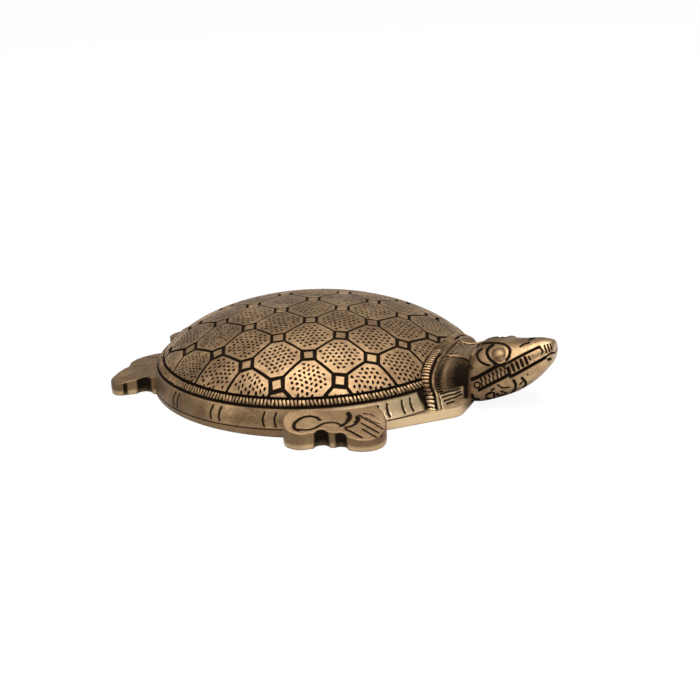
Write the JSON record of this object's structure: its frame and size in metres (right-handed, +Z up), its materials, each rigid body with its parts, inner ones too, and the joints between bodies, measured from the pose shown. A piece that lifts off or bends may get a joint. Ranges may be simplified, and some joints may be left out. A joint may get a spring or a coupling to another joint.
{
  "type": "turtle figurine",
  "caption": "Cast brass turtle figurine with a low domed patterned shell, rope border, arched neck collar, raised head and short flippers, resting on a flat underside.",
  "frame": {"origin": "the flat underside's reference point, on the figurine's middle plane and close to the shell's centre, where it rests on a surface", "axes": "+X toward the head, +Y toward the turtle's left side, +Z up out of the shell"},
  "size_m": [0.1621, 0.1387, 0.0291],
  "materials": {
    "brass": "antique, dark in the grooves and polished on the raised parts"
  },
  "bodies": {
    "root": {"carapace": "brass", "plastron": "brass", "neck_collar": "brass", "head": "brass", "front_right_flipper": "brass", "front_left_flipper": "brass", "rear_right_flipper": "brass", "rear_left_flipper": "brass"}
  },
  "joints": []
}
